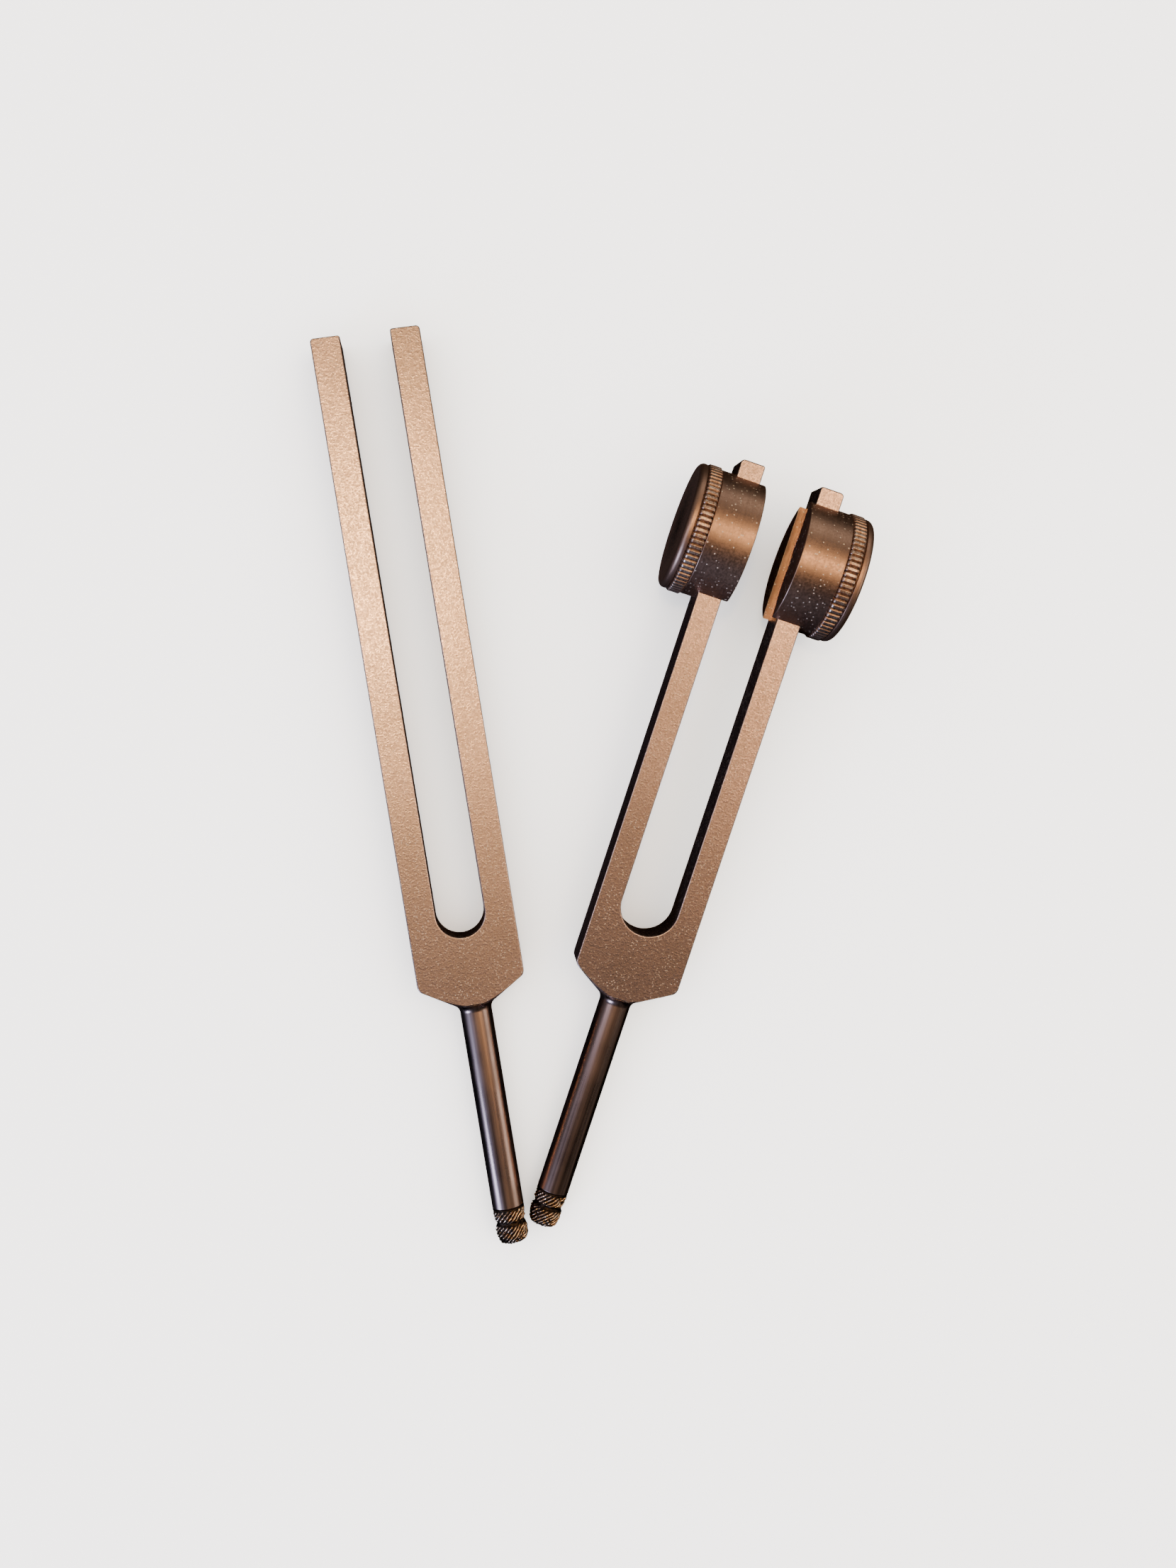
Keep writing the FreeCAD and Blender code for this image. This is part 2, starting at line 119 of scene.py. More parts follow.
class WeightSizes(bpy.types.PropertyGroup):
    """Sizes of the weights and their knurled caps, measured outwards from between the tines."""

    from_end: length("From the end", "Tine end to the axis of its weight", 17.9)
    radius: length("Weight radius", "Radius of the smooth body", 14.6)
    lip_start: length("Lip", "Where the body starts", 5.4)
    body_end: length("Body end", "Where the body ends", 15.8)
    boss_radius: length("Boss radius", "Locating boss inside the cap", 4.5)
    boss_height: length("Boss height", "Height of that boss", 0.8)
    screw_radius: length("Screw radius", "Radius of the clamp screw", 1.5)
    screw_reach: length("Screw reach", "How deep the screw goes into the cap", 3.6)
    head_radius: length("Head radius", "Radius of the screw's head", 2.8)
    head_height: length("Head height", "Height of that head", 1.7)
    slide_up: length("Slide up", "Travel towards the tine's end", 4.0)
    slide_down: length("Slide down", "Travel towards the yoke", 8.0)
    cap_radius: length("Cap radius", "Radius of the knurled band", 15.0)
    cap_band: length("Band", "Width of the knurled band", 3.1)
    cap_groove: length("Groove", "Width of the groove beside the band", 0.35)
    cap_groove_depth: length("Groove depth", "Depth of that groove", 0.85)
    rim_radius: length("Rim radius", "Radius of the smooth rim", 14.7)
    rim_width: length("Rim width", "Width of that rim", 1.8)
    rim_round: length("Rim rounding", "Rounding of the rim's outer edge", 1.3)
    knurl_count: IntProperty(name="Knurls", description="Ridges round a cap", default=72)
    knurl_depth: length("Knurl depth", "Depth of the cuts between ridges", 0.35)
    gap: length("Gap", "Gap on each side of a sliding or turning fit", 0.05)


class Finishes(bpy.types.PropertyGroup):
    """Colours of the metals."""

    blasted: colour("Blasted", "Bead-blasted flat faces", (0.58, 0.39, 0.32))
    blasted_shade: colour("Blasted shade", "Duller patches of the blasted faces", (0.50, 0.34, 0.275))
    turned: colour("Turned", "Smooth turned stems", (0.46, 0.30, 0.235))
    satin: colour("Satin", "Satin bodies of the weights", (0.50, 0.30, 0.20))
    satin_shade: colour("Satin shade", "Duller patches of the weights", (0.41, 0.245, 0.17))
    knurled: colour("Knurled", "Knurled caps", (0.50, 0.30, 0.205))
    bronze: colour("Tip", "Knurled stem tips", (0.95, 0.58, 0.32))
    # Grime: near-black dirt on the stems and screws; in the knurled cuts and grooves it also stands as painted
    # shade.
    grime_and_shade: colour("Grime", "Dirt that stays in the cuts", (0.035, 0.022, 0.014))
    # Specks: colour of the blasted specks, also used for painted highlights on the worn edges and knurl crests.
    speck_and_highlight: colour("Specks", "Bright specks of the blasted surface", (1.0, 0.85, 0.68))
    steel: colour("Steel", "Clamp screws", (0.50, 0.49, 0.48))


class StageSettings(bpy.types.PropertyGroup):
    """Floor, light and camera."""

    floor: colour("Floor", "Colour of the floor", (0.86, 0.86, 0.86))
    daylight: FloatProperty(name="Daylight", description="Strength of the even light", default=4.0)
    glow: FloatProperty(name="Glow", description="Strength of the surroundings in the metal", default=0.3)
    camera_place: FloatVectorProperty(
        name="Camera place", description="Where the camera stands", size=3, unit="LENGTH",
        default=(-0.01036, 0.01095, 0.3289),
    )
    camera_aim: FloatVectorProperty(
        name="Camera aim", description="Point on the floor in the middle of the view", size=3, unit="LENGTH",
        default=(0.02488, 0.01111, 0.0),
    )
    camera_heading: FloatProperty(
        name="Camera heading", description="Turn of the view about the vertical", unit="ROTATION",
        default=math.radians(17.83),
    )
    lens: FloatProperty(name="Lens", description="Focal length on a 36 mm side, in millimetres", default=31.6)


# ---------------------------------------------------------------- places from the frame


def fork_place(grip_name, grip_middle):
    """The local frame of a fork: origin at its stem's end, Y along it, Z out of its front face."""
    mount = MOUNTS[grip_name]
    along = -Vector(mount["axis"]).normalized()
    across = along.cross(Vector((0, 0, 1))).normalized()
    front = across.cross(along)
    origin = Vector(mount["pos_m"]) - along * grip_middle
    columns = Matrix((across, along, front)).transposed().to_4x4()
    return Matrix.Translation(origin) @ columns


def weight_place(side, level=True):
    """The local frame of a weight: Y along its axis, outwards from between the tines.

    Z points straight up, or, when not level, out of the tine's front face.
    """
    joint = JOINTS[f"{side}_cap_turn"]
    outwards = Vector(joint["axis"]).normalized()
    slide = Vector(JOINTS[f"{side}_weight_slide"]["axis"]).normalized()
    front = Vector((0, 0, 1)) if level else Vector((1, 0, 0)).cross(slide)
    across = outwards.cross(front)
    middle = Vector(joint["pos_m"])
    middle.x = MOUNTS["weighted_stem_grip"]["pos_m"][0]
    columns = Matrix((across, outwards, front)).transposed().to_4x4()
    return Matrix.Translation(middle) @ columns


# ---------------------------------------------------------------- mesh making


def softened(corners, steps, closed=False):
    """Points of an outline; a corner is (x, y) or (x, y, rounding), and a rounding takes some steps."""
    points = []
    count = len(corners)
    for index, corner in enumerate(corners):
        here = Vector(corner[:2])
        at_end = not closed and index in (0, count - 1)
        rounding = corner[2] if len(corner) > 2 else 0.0
        if rounding == 0.0 or at_end:
            points.append(here)
            continue
        back = (Vector(corners[index - 1][:2]) - here).normalized()
        onward = (Vector(corners[(index + 1) % count][:2]) - here).normalized()
        half = back.angle(onward) / 2
        centre = here + (back + onward).normalized() * rounding / math.sin(half)
        start = here + back * rounding / math.tan(half) - centre
        end = here + onward * rounding / math.tan(half) - centre
        for step in range(steps + 1):
            points.append(centre + start.lerp(end, step / steps).normalized() * rounding)
    return points


def finished_object(bm, name, place):
    """An object made from the mesh, at its place."""
    bmesh.ops.recalc_face_normals(bm, faces=bm.faces)
    mesh = bpy.data.meshes.new(name)
    bm.to_mesh(mesh)
    bm.free()
    piece = bpy.data.objects.new(name, mesh)
    bpy.context.scene.collection.objects.link(piece)
    piece.matrix_world = place
    return piece


def turned_piece(name, place, profile, columns, relief=None, ring=False):
    """A piece turned about its local Y axis. The profile's points are (radius, along).

    relief(angle, radius, along) gives the height of the surface over its profile and how worn and lit
    its finish paints it, from 0 in a cut (grime and painted shade) to 1 on a crest (wear and painted
    highlight). A ring's profile closes on itself and doesn't meet the axis.
    """
    bm = bmesh.new()
    worn_and_lit = bm.verts.layers.float.new("worn_and_lit")
    rings = []
    for radius, along in profile:
        if radius < TINY:
            rings.append([bm.verts.new((0.0, along, 0.0))])
            continue
        loop = []
        for column in range(columns):
            angle = 2 * math.pi * column / columns
            height, share = relief(angle, radius, along) if relief else (0.0, 0.5)
            reach = radius + height
            vertex = bm.verts.new((reach * math.sin(angle), along, reach * math.cos(angle)))
            vertex[worn_and_lit] = share
            loop.append(vertex)
        rings.append(loop)
    pairs = list(zip(rings, rings[1:]))
    if ring:
        pairs.append((rings[-1], rings[0]))
    for lower, upper in pairs:
        if len(lower) == 1 and len(upper) == 1:
            continue
        for column in range(columns):
            following = (column + 1) % columns
            round_the_face = ((lower, column), (lower, following), (upper, following), (upper, column))
            corners = []
            for loop, index in round_the_face:
                vertex = loop[index % len(loop)]
                if vertex not in corners:
                    corners.append(vertex)
            bm.faces.new(corners)
    return finished_object(bm, name, place)


def flat_piece(name, place, outline, low, high):
    """A flat plate with the outline in local X and Y, from low to high along local Z."""
    bm = bmesh.new()
    bottom = [bm.verts.new((x, y, low)) for x, y in outline]
    top = [bm.verts.new((x, y, high)) for x, y in outline]
    bm.faces.new(bottom)
    bm.faces.new(top)
    for index in range(len(outline)):
        following = (index + 1) % len(outline)
        bm.faces.new((bottom[index], bottom[following], top[following], top[index]))
    return finished_object(bm, name, place)


def settle_modifiers(piece):
    """The piece's mesh with its modifiers applied."""
    graph = bpy.context.evaluated_depsgraph_get()
    mesh = bpy.data.meshes.new_from_object(piece.evaluated_get(graph))
    piece.modifiers.clear()
    piece.data = mesh


def carve(piece, tool, operation):
    """The piece with the tool's volume cut away, or kept alone; the tool is used up."""
    cut = piece.modifiers.new("carve", "BOOLEAN")
    cut.operation = operation
    cut.solver = "EXACT"
    cut.object = tool
    settle_modifiers(piece)
    bpy.data.objects.remove(tool)


def soften_edges(piece, width, sharp_angle=28.0):
    """Small roundings on the sharp edges."""
    bevel = piece.modifiers.new("bevel", "BEVEL")
    bevel.width = width
    bevel.segments = 3
    bevel.limit_method = "ANGLE"
    bevel.angle_limit = math.radians(sharp_angle)
    settle_modifiers(piece)


def smooth_shading(piece):
    """Smooth faces whose normals follow the larger faces."""
    piece.data.shade_smooth()
    weigh = piece.modifiers.new("normals", "WEIGHTED_NORMAL")
    weigh.weight = 60
    settle_modifiers(piece)


def dress(piece, material, slot, body, *nodes):
    """Gives a piece its finish, its body and the frame's nodes that it stands for."""
    piece.data.materials.clear()
    piece.data.materials.append(material)
    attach(piece, body)
    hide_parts(*nodes)


# ---------------------------------------------------------------- finishes


class Nodes:
    """A node tree, with short ways to add and join nodes."""

    def __init__(self, tree):
        self.tree = tree

    def add(self, kind, links=None, **settings):
        """A node with its settings; links join or set its inputs by name or number."""
        node = self.tree.nodes.new(kind)
        for key, value in settings.items():
            setattr(node, key, value)
        self.join(node, links or {})
        return node

    def join(self, node, links):
        """Joins outputs to a node's inputs, or sets those that are plain values."""
        for key, value in links.items():
            if isinstance(value, bpy.types.NodeSocket):
                self.tree.links.new(value, node.inputs[key])
            else:
                node.inputs[key].default_value = value

    def between(self, value, low, high, out_low=0.0, out_high=1.0):
        """A value mapped from one range onto another."""
        mapped = self.add(
            "ShaderNodeMapRange",
            {"Value": value, "From Min": low, "From Max": high, "To Min": out_low, "To Max": out_high},
        )
        return mapped.outputs["Result"]

    def combine(self, operation, first, second):
        """A sum, product or other combination of two values."""
        made = self.add("ShaderNodeMath", {0: first, 1: second}, operation=operation)
        return made.outputs["Value"]


class Finish(Nodes):
    """The nodes of one material."""

    def __init__(self, name, metallic=1.0):
        self.material = bpy.data.materials.new(name)
        self.material.use_nodes = True
        super().__init__(self.material.node_tree)
        self.shader = self.tree.nodes["Principled BSDF"]
        self.shader.inputs["Metallic"].default_value = metallic

    def coordinates(self, stretch=(1.0, 1.0, 1.0)):
        """Local coordinates, stretched along their axes."""
        place = self.add("ShaderNodeTexCoord")
        mapping = self.add("ShaderNodeMapping", {"Vector": place.outputs["Object"], "Scale": stretch})
        return mapping.outputs["Vector"]

    def noise(self, scale, detail, stretch=(1.0, 1.0, 1.0)):
        """Soft noise from 0 to 1."""
        made = self.add(
            "ShaderNodeTexNoise", {"Vector": self.coordinates(stretch), "Scale": scale, "Detail": detail}
        )
        return made.outputs["Fac"]

    def blend(self, share, first, second, blend_type="MIX"):
        """Two colours mixed by a share."""
        mixed = self.add("ShaderNodeMix", data_type="RGBA", blend_type=blend_type)
        for number, value in ((0, share), (6, first), (7, second)):
            self.join(mixed, {number: value})
        return mixed.outputs[2]

    def edge_wear_and_highlight(self, reach):
        """1 on edges, 0 on flat surface, from how far a rounded normal leans away from the true one."""
        rounded = self.add("ShaderNodeBevel", {"Radius": reach}, samples=6)
        straight = self.add("ShaderNodeNewGeometry")
        turned = self.add(
            "ShaderNodeVectorMath",
            {0: rounded.outputs["Normal"], 1: straight.outputs["Normal"]},
            operation="DOT_PRODUCT",
        )
        still_flat, fully_worn = 0.995, 0.9
        return self.between(turned.outputs["Value"], still_flat, fully_worn)

    def specks(self, size, share, reach):
        """Specks in a share of the cells: 1 on a speck, 0 elsewhere. Its reach is a share of its cell."""
        cells = self.add(
            "ShaderNodeTexVoronoi", {"Vector": self.coordinates(), "Scale": 1.0 / size, "Randomness": 1.0}
        )
        tone = self.add("ShaderNodeSeparateColor", {"Color": cells.outputs["Color"]})
        chosen = self.combine("GREATER_THAN", tone.outputs["Red"], 1.0 - share)
        round_dot = self.between(cells.outputs["Distance"], reach, reach * 0.5)
        return self.combine("MULTIPLY", chosen, round_dot)

    def bump(self, height, strength, depth):
        """Fine relief from a height of 0 to 1, which stands for the depth in metres."""
        raised = self.add("ShaderNodeBump", {"Height": height, "Strength": strength, "Distance": depth})
        self.join(self.shader, {"Normal": raised.outputs["Normal"]})


# Soft noise from 0 to 1 lies mostly in these spans: fine grain, and the wider one of clouds and patches.
GRAIN_SPAN = (0.36, 0.64)
CLOUD_SPAN = (0.35, 0.7)


def rgba(value):
    """A colour property as the four numbers that a socket takes."""
    return (value[0], value[1], value[2], 1.0)


def blasted_finish(finishes):
    """Bead-blasted aluminium: warm, grainy and full of fine bright specks, with edges lightened by wear and
    painted highlight.
    """
    made = Finish("blasted_aluminium_finish")
    patches = made.between(made.noise(scale=38.0, detail=3.0), 0.36, 0.66)
    grain = made.noise(scale=2500.0, detail=2.0)
    base = made.blend(patches, rgba(finishes.blasted), rgba(finishes.blasted_shade))
    tone = made.between(grain, *GRAIN_SPAN, 0.8, 1.24)
    shaded = made.blend(1.0, base, tone, "MULTIPLY")
    clusters = made.between(made.noise(scale=160.0, detail=3.0), 0.4, 0.65, 0.35, 1.0)
    specks = made.combine("MULTIPLY", made.specks(size=0.34 * MM, share=0.17, reach=0.46), clusters)
    speckled = made.blend(specks, shaded, rgba(finishes.speck_and_highlight))
    # Painted highlight, partly real wear: rounded edges are lightened towards the bright speck colour.
    worn_and_lit = made.combine("MULTIPLY", made.edge_wear_and_highlight(reach=0.35 * MM), 0.8)
    worn = made.blend(worn_and_lit, speckled, rgba(finishes.speck_and_highlight))
    dull = made.between(grain, *GRAIN_SPAN, 0.36, 0.27)
    scatter = made.combine("MULTIPLY", specks, 0.35)
    made.join(made.shader, {"Base Color": worn, "Roughness": made.combine("ADD", dull, scatter)})
    made.bump(grain, strength=0.8, depth=0.05 * MM)
    return made.material


def turned_finish(finishes):
    """Smooth turned aluminium with faint lengthwise streaks and handling marks."""
    made = Finish("turned_aluminium_finish")
    streaks = made.noise(scale=900.0, detail=4.0, stretch=(1.0, 0.012, 1.0))
    clouds = made.noise(scale=120.0, detail=3.0)
    handled = made.between(clouds, *CLOUD_SPAN, 0.0, 0.3)
    base = made.blend(handled, rgba(finishes.turned), rgba(finishes.grime_and_shade))
    tone = made.between(streaks, 0.35, 0.65, 0.68, 1.3)
    shaded = made.blend(1.0, base, tone, "MULTIPLY")
    worn = made.between(clouds, 0.4, 0.7, 0.0, 0.08)
    rough = made.combine("ADD", made.between(streaks, 0.3, 0.7, 0.22, 0.32), worn)
    made.join(made.shader, {"Base Color": shaded, "Roughness": rough})
    made.bump(streaks, strength=0.12, depth=0.02 * MM)
    return made.material


def satin_finish(finishes):
    """Turned and lightly blasted satin, with fine rings and scattered specks."""
    made = Finish("satin_aluminium_finish")
    grain = made.noise(scale=1900.0, detail=2.0)
    rings = made.noise(scale=2400.0, detail=2.0, stretch=(0.02, 1.0, 0.02))
    clouds = made.noise(scale=90.0, detail=2.0)
    patches = made.between(clouds, *CLOUD_SPAN)
    base = made.blend(patches, rgba(finishes.satin), rgba(finishes.satin_shade))
    tone = made.between(made.combine("ADD", grain, rings), 0.7, 1.3, 0.88, 1.1)
    shaded = made.blend(1.0, base, tone, "MULTIPLY")
    specks = made.specks(size=0.62 * MM, share=0.22, reach=0.36)
    speckled = made.blend(specks, shaded, rgba(finishes.speck_and_highlight))
    # Painted highlight, partly real wear: rounded edges are lightened towards the bright speck colour.
    worn_and_lit = made.combine("MULTIPLY", made.edge_wear_and_highlight(reach=0.3 * MM), 0.6)
    worn = made.blend(worn_and_lit, speckled, rgba(finishes.speck_and_highlight))
    scatter = made.combine("MULTIPLY", specks, 0.3)
    rough = made.combine("ADD", made.between(grain, *GRAIN_SPAN, 0.44, 0.34), scatter)
    made.join(made.shader, {"Base Color": worn, "Roughness": rough})
    made.bump(grain, strength=0.3, depth=0.03 * MM)
    return made.material


def knurled_finish(name, crest, finishes, crest_rough, cut_rough, grime_and_shade_ends, crest_starts):
    """Knurled metal: crests lightened by wear and painted highlight, over cuts darkened by grime and painted
    shade.
    """
    made = Finish(name)
    relief = made.add("ShaderNodeAttribute", attribute_name="worn_and_lit").outputs["Fac"]
    grain = made.noise(scale=2400.0, detail=3.0)
    cut_to_crest = made.combine("ADD", relief, made.between(grain, 0.3, 0.7, -0.2, 0.2))
    # The cuts take the near-black grime colour, as grime and painted shade; the crests take the crest colour.
    base = made.blend(made.between(cut_to_crest, grime_and_shade_ends, crest_starts), rgba(finishes.grime_and_shade), rgba(crest))
    # Painted highlight, partly real polish: the highest crests are lightened towards the bright speck colour.
    polish_and_glint = made.combine("MULTIPLY", made.between(cut_to_crest, 0.8, 1.0), 0.6)
    worn = made.blend(polish_and_glint, base, rgba(finishes.speck_and_highlight))
    rough = made.between(cut_to_crest, 0.0, 1.0, cut_rough, crest_rough)
    made.join(made.shader, {"Base Color": worn, "Roughness": rough})
    made.bump(grain, strength=0.3, depth=0.03 * MM)
    return made.material


def steel_finish(finishes):
    """Plain steel of the clamp screws, with fine turning marks."""
    made = Finish("screw_steel_finish")
    marks = made.noise(scale=2600.0, detail=2.0, stretch=(1.0, 0.1, 0.1))
    clouds = made.noise(scale=300.0, detail=2.0)
    dulled = made.blend(made.between(clouds, 0.4, 0.7, 0.0, 0.5), rgba(finishes.steel), rgba(finishes.grime_and_shade))
    made.join(made.shader, {"Base Color": dulled, "Roughness": made.between(marks, 0.3, 0.7, 0.25, 0.4)})
    made.bump(marks, strength=0.2, depth=0.02 * MM)
    return made.material


# ---------------------------------------------------------------- the forks


FORKS = {
    "plain": {"grip": "plain_stem_grip", "body": "plain_fork_body"},
    "weighted": {"grip": "weighted_stem_grip", "body": "weighted_fork_body"},
}


def finish_named(name):
    """A finish made earlier in this run, or made now."""
    found = bpy.data.materials.get(name)
    if found:
        return found
    finishes = bpy.context.scene.fork_finishes
    makers = {
        "blasted_aluminium_finish": lambda: blasted_finish(finishes),
        "turned_aluminium_finish": lambda: turned_finish(finishes),
        "satin_aluminium_finish": lambda: satin_finish(finishes),
        # Both knurled finishes paint shade into the cuts and a highlight on the crests; the tip spreads the shade
        # wider.
        "cap_finish": lambda: knurled_finish(
            "cap_finish", finishes.knurled, finishes,
            crest_rough=0.38, cut_rough=0.5, grime_and_shade_ends=-0.1, crest_starts=0.5,
        ),
        "tip_finish": lambda: knurled_finish(
            "tip_finish", finishes.bronze, finishes,
            crest_rough=0.18, cut_rough=0.42, grime_and_shade_ends=0.4, crest_starts=0.85,
        ),
        "screw_steel_finish": lambda: steel_finish(finishes),
    }
    return makers[name]()


def make_blank(kind, sizes, weights):
    """Yoke and two tines of one fork."""
    place = fork_place(FORKS[kind]["grip"], sizes.grip_middle)
    full = getattr(sizes, f"{kind}_length")
    slot_half = getattr(sizes, f"{kind}_slot") / 2
    half = sizes.width / 2
    seat_radius = sizes.stem_radius + sizes.root_flare
    seat = sizes.shoulder_start + sizes.root_flare * sizes.shoulder_slope
    allowance = 0.02 * MM
    corner_reach = math.hypot(half, sizes.thickness / 2)
    shoulder = seat + (corner_reach - seat_radius) * sizes.shoulder_slope - allowance
    inner_round = sizes.corner_round * 0.6
    slot_round = slot_half * NEARLY_FULL
    outline = softened([
        (-seat_radius, seat - allowance),
        (seat_radius, seat - allowance),
        (half, shoulder, sizes.shoulder_round),
        (half, full, sizes.corner_round),
        (slot_half, full, inner_round),
        (slot_half, sizes.slot_bottom, slot_round),
        (-slot_half, sizes.slot_bottom, slot_round),
        (-slot_half, full, inner_round),
        (-half, full, sizes.corner_round),
        (-half, shoulder, sizes.shoulder_round),
    ], steps=14, closed=True)
    blank = flat_piece(f"{kind}_fork_blank", place, outline, -sizes.thickness / 2, sizes.thickness / 2)
    soften_edges(blank, sizes.edge_round)

    past_corners = half * 1.6
    past_ends = full + 5 * MM
    cone_top = seat + (past_corners - seat_radius) * sizes.shoulder_slope
    turned_limit = turned_piece(f"{kind}_turned_limit", place, [
        (0.0, seat),
        (seat_radius, seat),
        (past_corners, cone_top),
        (past_corners, past_ends),
        (0.0, past_ends),
    ], columns=160)
    carve(blank, turned_limit, "INTERSECT")
    if kind == "weighted":
        cut_tuning_slots(blank, place, sizes, weights)
    smooth_shading(blank)
    finish = finish_named("blasted_aluminium_finish")
    dress(blank, finish, "blasted_aluminium", FORKS[kind]["body"], f"{kind}_fork")


def cut_tuning_slots(blank, place, sizes, weights):
    """Stepped slots through both tines, in which the clamp screws travel."""
    middle = sizes.weighted_length - weights.from_end
    head_half = sizes.weighted_slot / 2 + weights.head_height + weights.gap
    # Local Z turned onto X, so that the plates cut sideways through the tines.
    side_on = Matrix(((0, 0, 1, 0), (0, 1, 0, 0), (-1, 0, 0, 0), (0, 0, 0, 1)))
    lowest, highest = middle - weights.slide_down, middle + weights.slide_up
    for name, radius, reach in (
        ("shank", weights.screw_radius + 2 * weights.gap, sizes.width),
        ("head", weights.head_radius + 2 * weights.gap, head_half),
    ):
        end_round = radius * NEARLY_FULL
        run = softened([
            (-radius, lowest - radius, end_round),
            (radius, lowest - radius, end_round),
            (radius, highest + radius, end_round),
            (-radius, highest + radius, end_round),
        ], steps=8, closed=True)
        cutter = flat_piece(f"{name}_slot_cutter", place @ side_on, run, -reach, reach)
        carve(blank, cutter, "DIFFERENCE")


def make_stem(kind, sizes):
    """Round handle stem, flared into the yoke."""
    place = fork_place(FORKS[kind]["grip"], sizes.grip_middle)
    seat = sizes.shoulder_start + sizes.root_flare * sizes.shoulder_slope
    seam_round = 0.12 * MM
    profile = softened([
        (0.0, sizes.tip_length),
        (sizes.stem_radius - sizes.seam, sizes.tip_length),
        (sizes.stem_radius, sizes.tip_length + sizes.seam, seam_round),
        (sizes.stem_radius, sizes.shoulder_start, sizes.root_round),
        (sizes.stem_radius + sizes.root_flare, seat),
        (0.0, seat),
    ], steps=10)
    stem = turned_piece(f"{kind}_handle_stem", place, profile, columns=128)
    smooth_shading(stem)
    finish = finish_named("turned_aluminium_finish")
    dress(stem, finish, "turned_aluminium", FORKS[kind]["body"], f"{kind}_stem")


TIP_COLUMNS = 300
# The scales of the noise that makes a tip's ridges wander, chip and sink, and its stretch lengthwise.
WANDER_SCALE, CHIP_SCALE, LUMP_SCALE = 1.7, 6.0, 2.6
LENGTHWISE = 0.28
# Over these lengths the ridges grow from the seam, and rise from the tip's end.
SEAM_FADE, END_FADE = 0.5 * MM, 2.5 * MM


def tip_profile(sizes):
    """Rows along the tip, close enough together to carry its ridges."""
    end_rows, side_rows = 12, 96
    profile = [(0.0, 0.0)]
    for row in range(1, end_rows + 1):
        profile.append(((sizes.stem_radius - sizes.tip_round) * row / end_rows, 0.0))
    for row in range(1, end_rows + 1):
        angle = math.pi / 2 * row / end_rows
        profile.append((
            sizes.stem_radius - sizes.tip_round * (1 - math.sin(angle)),
            sizes.tip_round * (1 - math.cos(angle)),
        ))
    straight = sizes.tip_length - sizes.seam - sizes.tip_round
    for row in range(1, side_rows + 1):
        profile.append((sizes.stem_radius, sizes.tip_round + straight * row / side_rows))
    profile.append((sizes.stem_radius - sizes.seam, sizes.tip_length))
    profile.append((0.0, sizes.tip_length))
    return profile


def make_tip(kind, sizes, seed):
    """Stem tip with two bands of coarse slanting ridges and a hollow groove between them."""
    place = fork_place(FORKS[kind]["grip"], sizes.grip_middle)

    def relief(angle, radius, along):
        spot = Vector((math.sin(angle), along / MM * LENGTHWISE, math.cos(angle)))
        wander = noise.noise(spot * WANDER_SCALE + Vector((seed, 0, 0)))
        chipped = noise.noise(spot * CHIP_SCALE + Vector((0, seed, 0)))
        lumps = noise.noise(spot * LUMP_SCALE + Vector((0, 0, seed)))
        turn = sizes.ridge_slant * along / MM
        # Slanting ridges, cut here and there by flatter ones that run the other way.
        slanting = 0.5 + 0.5 * math.cos(sizes.ridge_count * (angle - turn) + 1.2 * wander)
        crossing = 0.5 + 0.5 * math.cos(sizes.ridge_count * 0.7 * (angle + 1.2 * turn) + 2.0 * chipped)
        crossed = min(1.0, max(0.0, 2.2 * wander))
        crest = slanting * (1 - 0.7 * (1 - crossing) * crossed)
        crest = min(1.0, max(0.0, crest + 0.2 * chipped))
        # The hollow between the bands, and the smooth parts at the end and beside the seam.
        hollow = math.exp(-(((along - sizes.tip_groove) / (sizes.tip_groove_width / 2)) ** 2) * 1.4)
        at_end = min(1.0, radius / (sizes.stem_radius - sizes.tip_round) * 0.8)
        near_seam = min(1.0, max(0.0, (sizes.tip_length - sizes.seam - along) / SEAM_FADE))
        share = (1 - hollow) * near_seam
        lift = sizes.ridge_rise * min(1.0, along / END_FADE)
        sunken = sizes.ridge_height * (1 - crest) + sizes.tip_lumps * max(0.0, 0.5 - 1.2 * lumps)
        height = share * at_end * (lift - sunken) - hollow * sizes.tip_groove_depth * (1 + 0.8 * lumps)
        # The second value paints shade into the hollow and beside the seam; the crests take the painted highlight.
        return height, crest * (0.25 + 0.75 * share) * (1 - 0.85 * hollow)

    tip = turned_piece(f"{kind}_knurled_tip", place, tip_profile(sizes), TIP_COLUMNS, relief)
    tip.data.shade_smooth()
    finish = finish_named("tip_finish")
    dress(tip, finish, "knurled_aluminium", FORKS[kind]["body"], f"{kind}_stem_tip")


# ---------------------------------------------------------------- the weights


